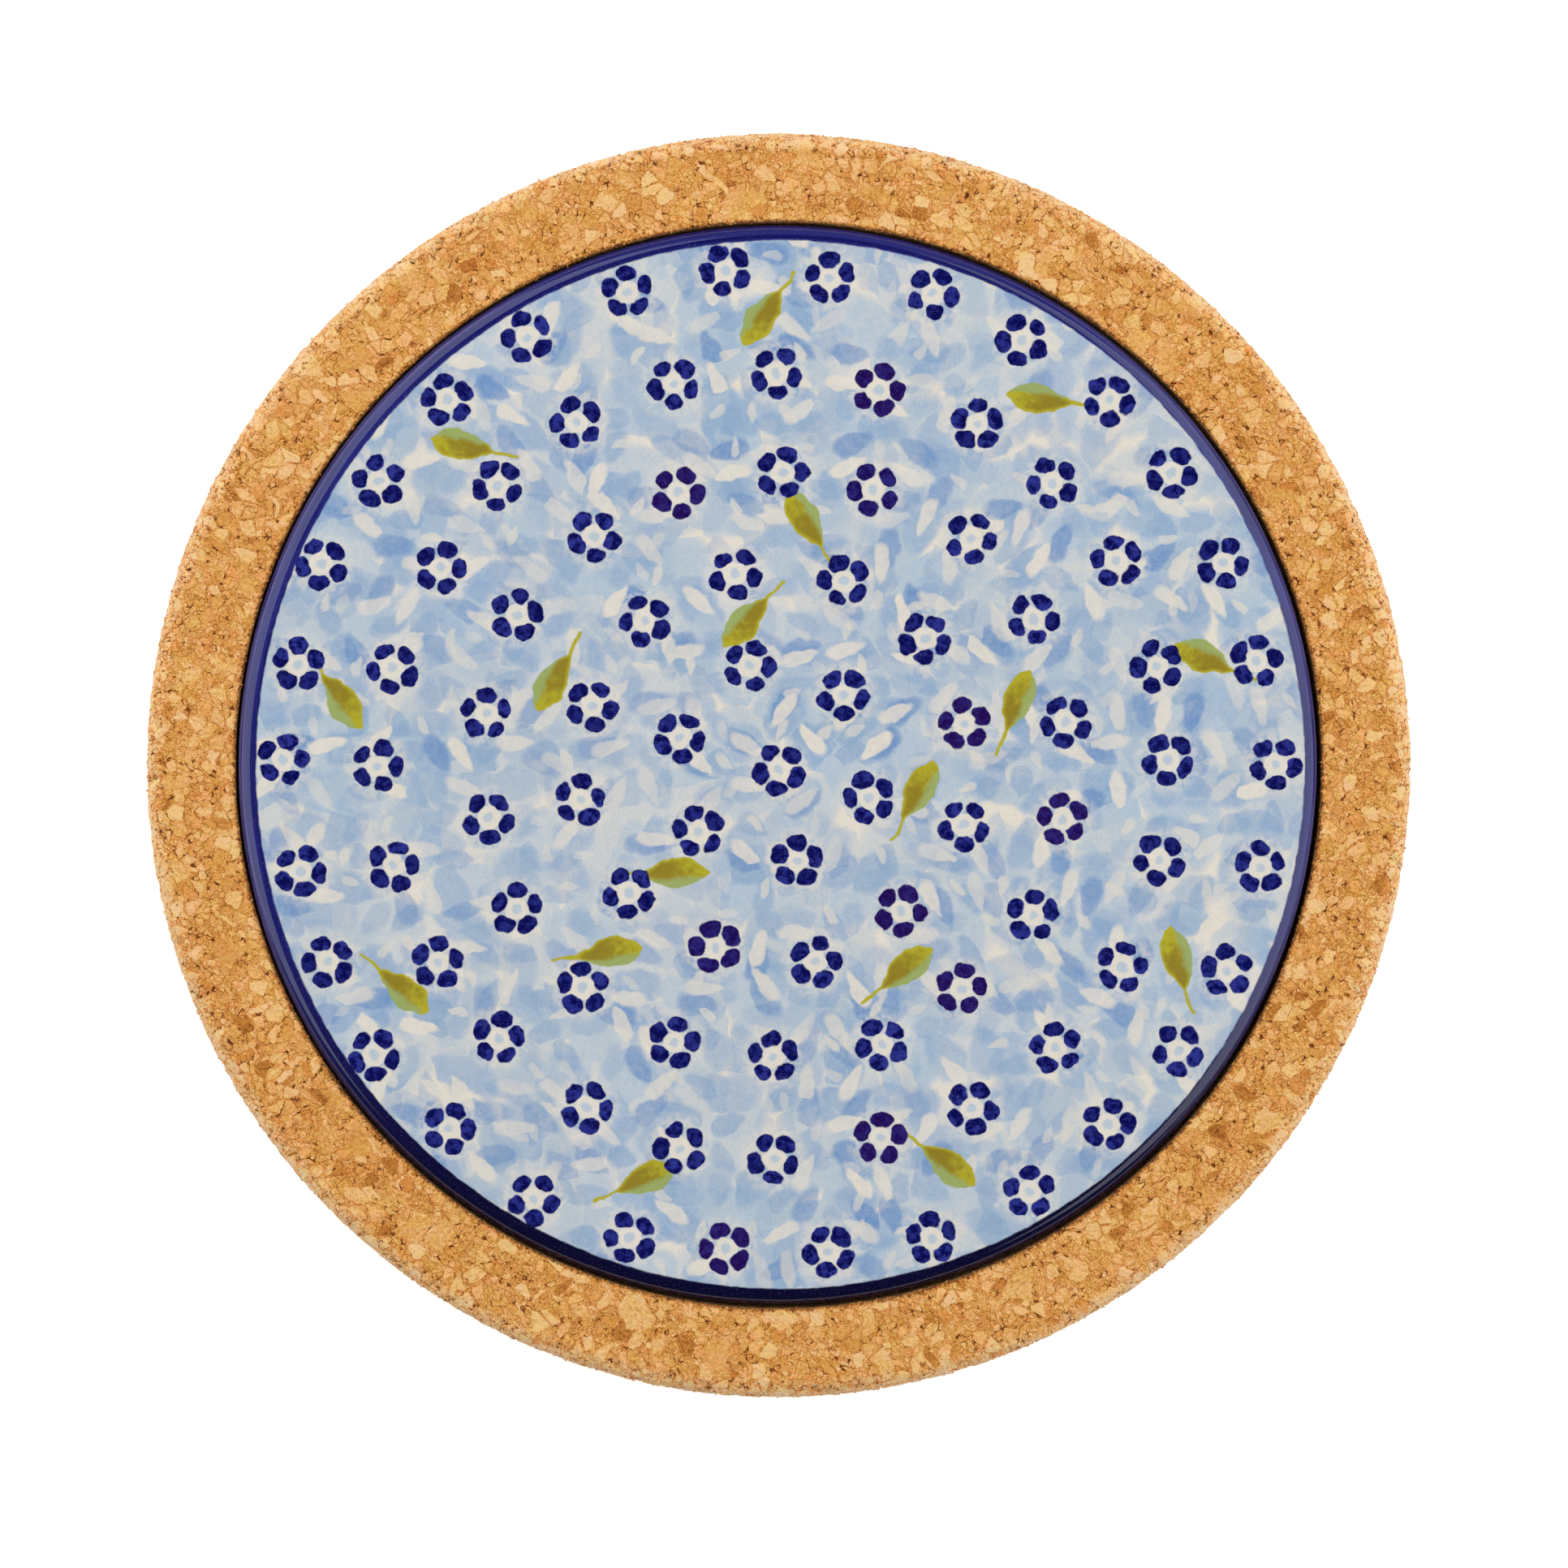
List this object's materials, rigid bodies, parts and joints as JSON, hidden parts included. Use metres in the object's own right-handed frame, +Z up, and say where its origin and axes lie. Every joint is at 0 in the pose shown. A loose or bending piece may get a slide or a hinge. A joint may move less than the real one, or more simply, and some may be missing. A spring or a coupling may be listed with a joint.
{
  "type": "trivet",
  "caption": "Round trivet: a glazed stoneware plate with a foot ring, lying loose in the shallow round recess of a cork base.",
  "frame": {"origin": "centre of the cork's underside, on the table", "axes": "+Z up, out of the plate's face; the part is round, so X and Y are free, and +Y is the top of the picture"},
  "size_m": [0.21, 0.21, 0.021],
  "materials": {
    "cork": "matte",
    "glaze": "gloss"
  },
  "bodies": {
    "cork": {"cork_base": "cork"},
    "plate": {"ceramic_plate": "glaze"}
  },
  "joints": [
    {"name": "plate_lift", "type": "slide", "parent": "cork", "child": "plate", "axis": [0, 0, 1], "range_m": [0, 0.03]}
  ]
}
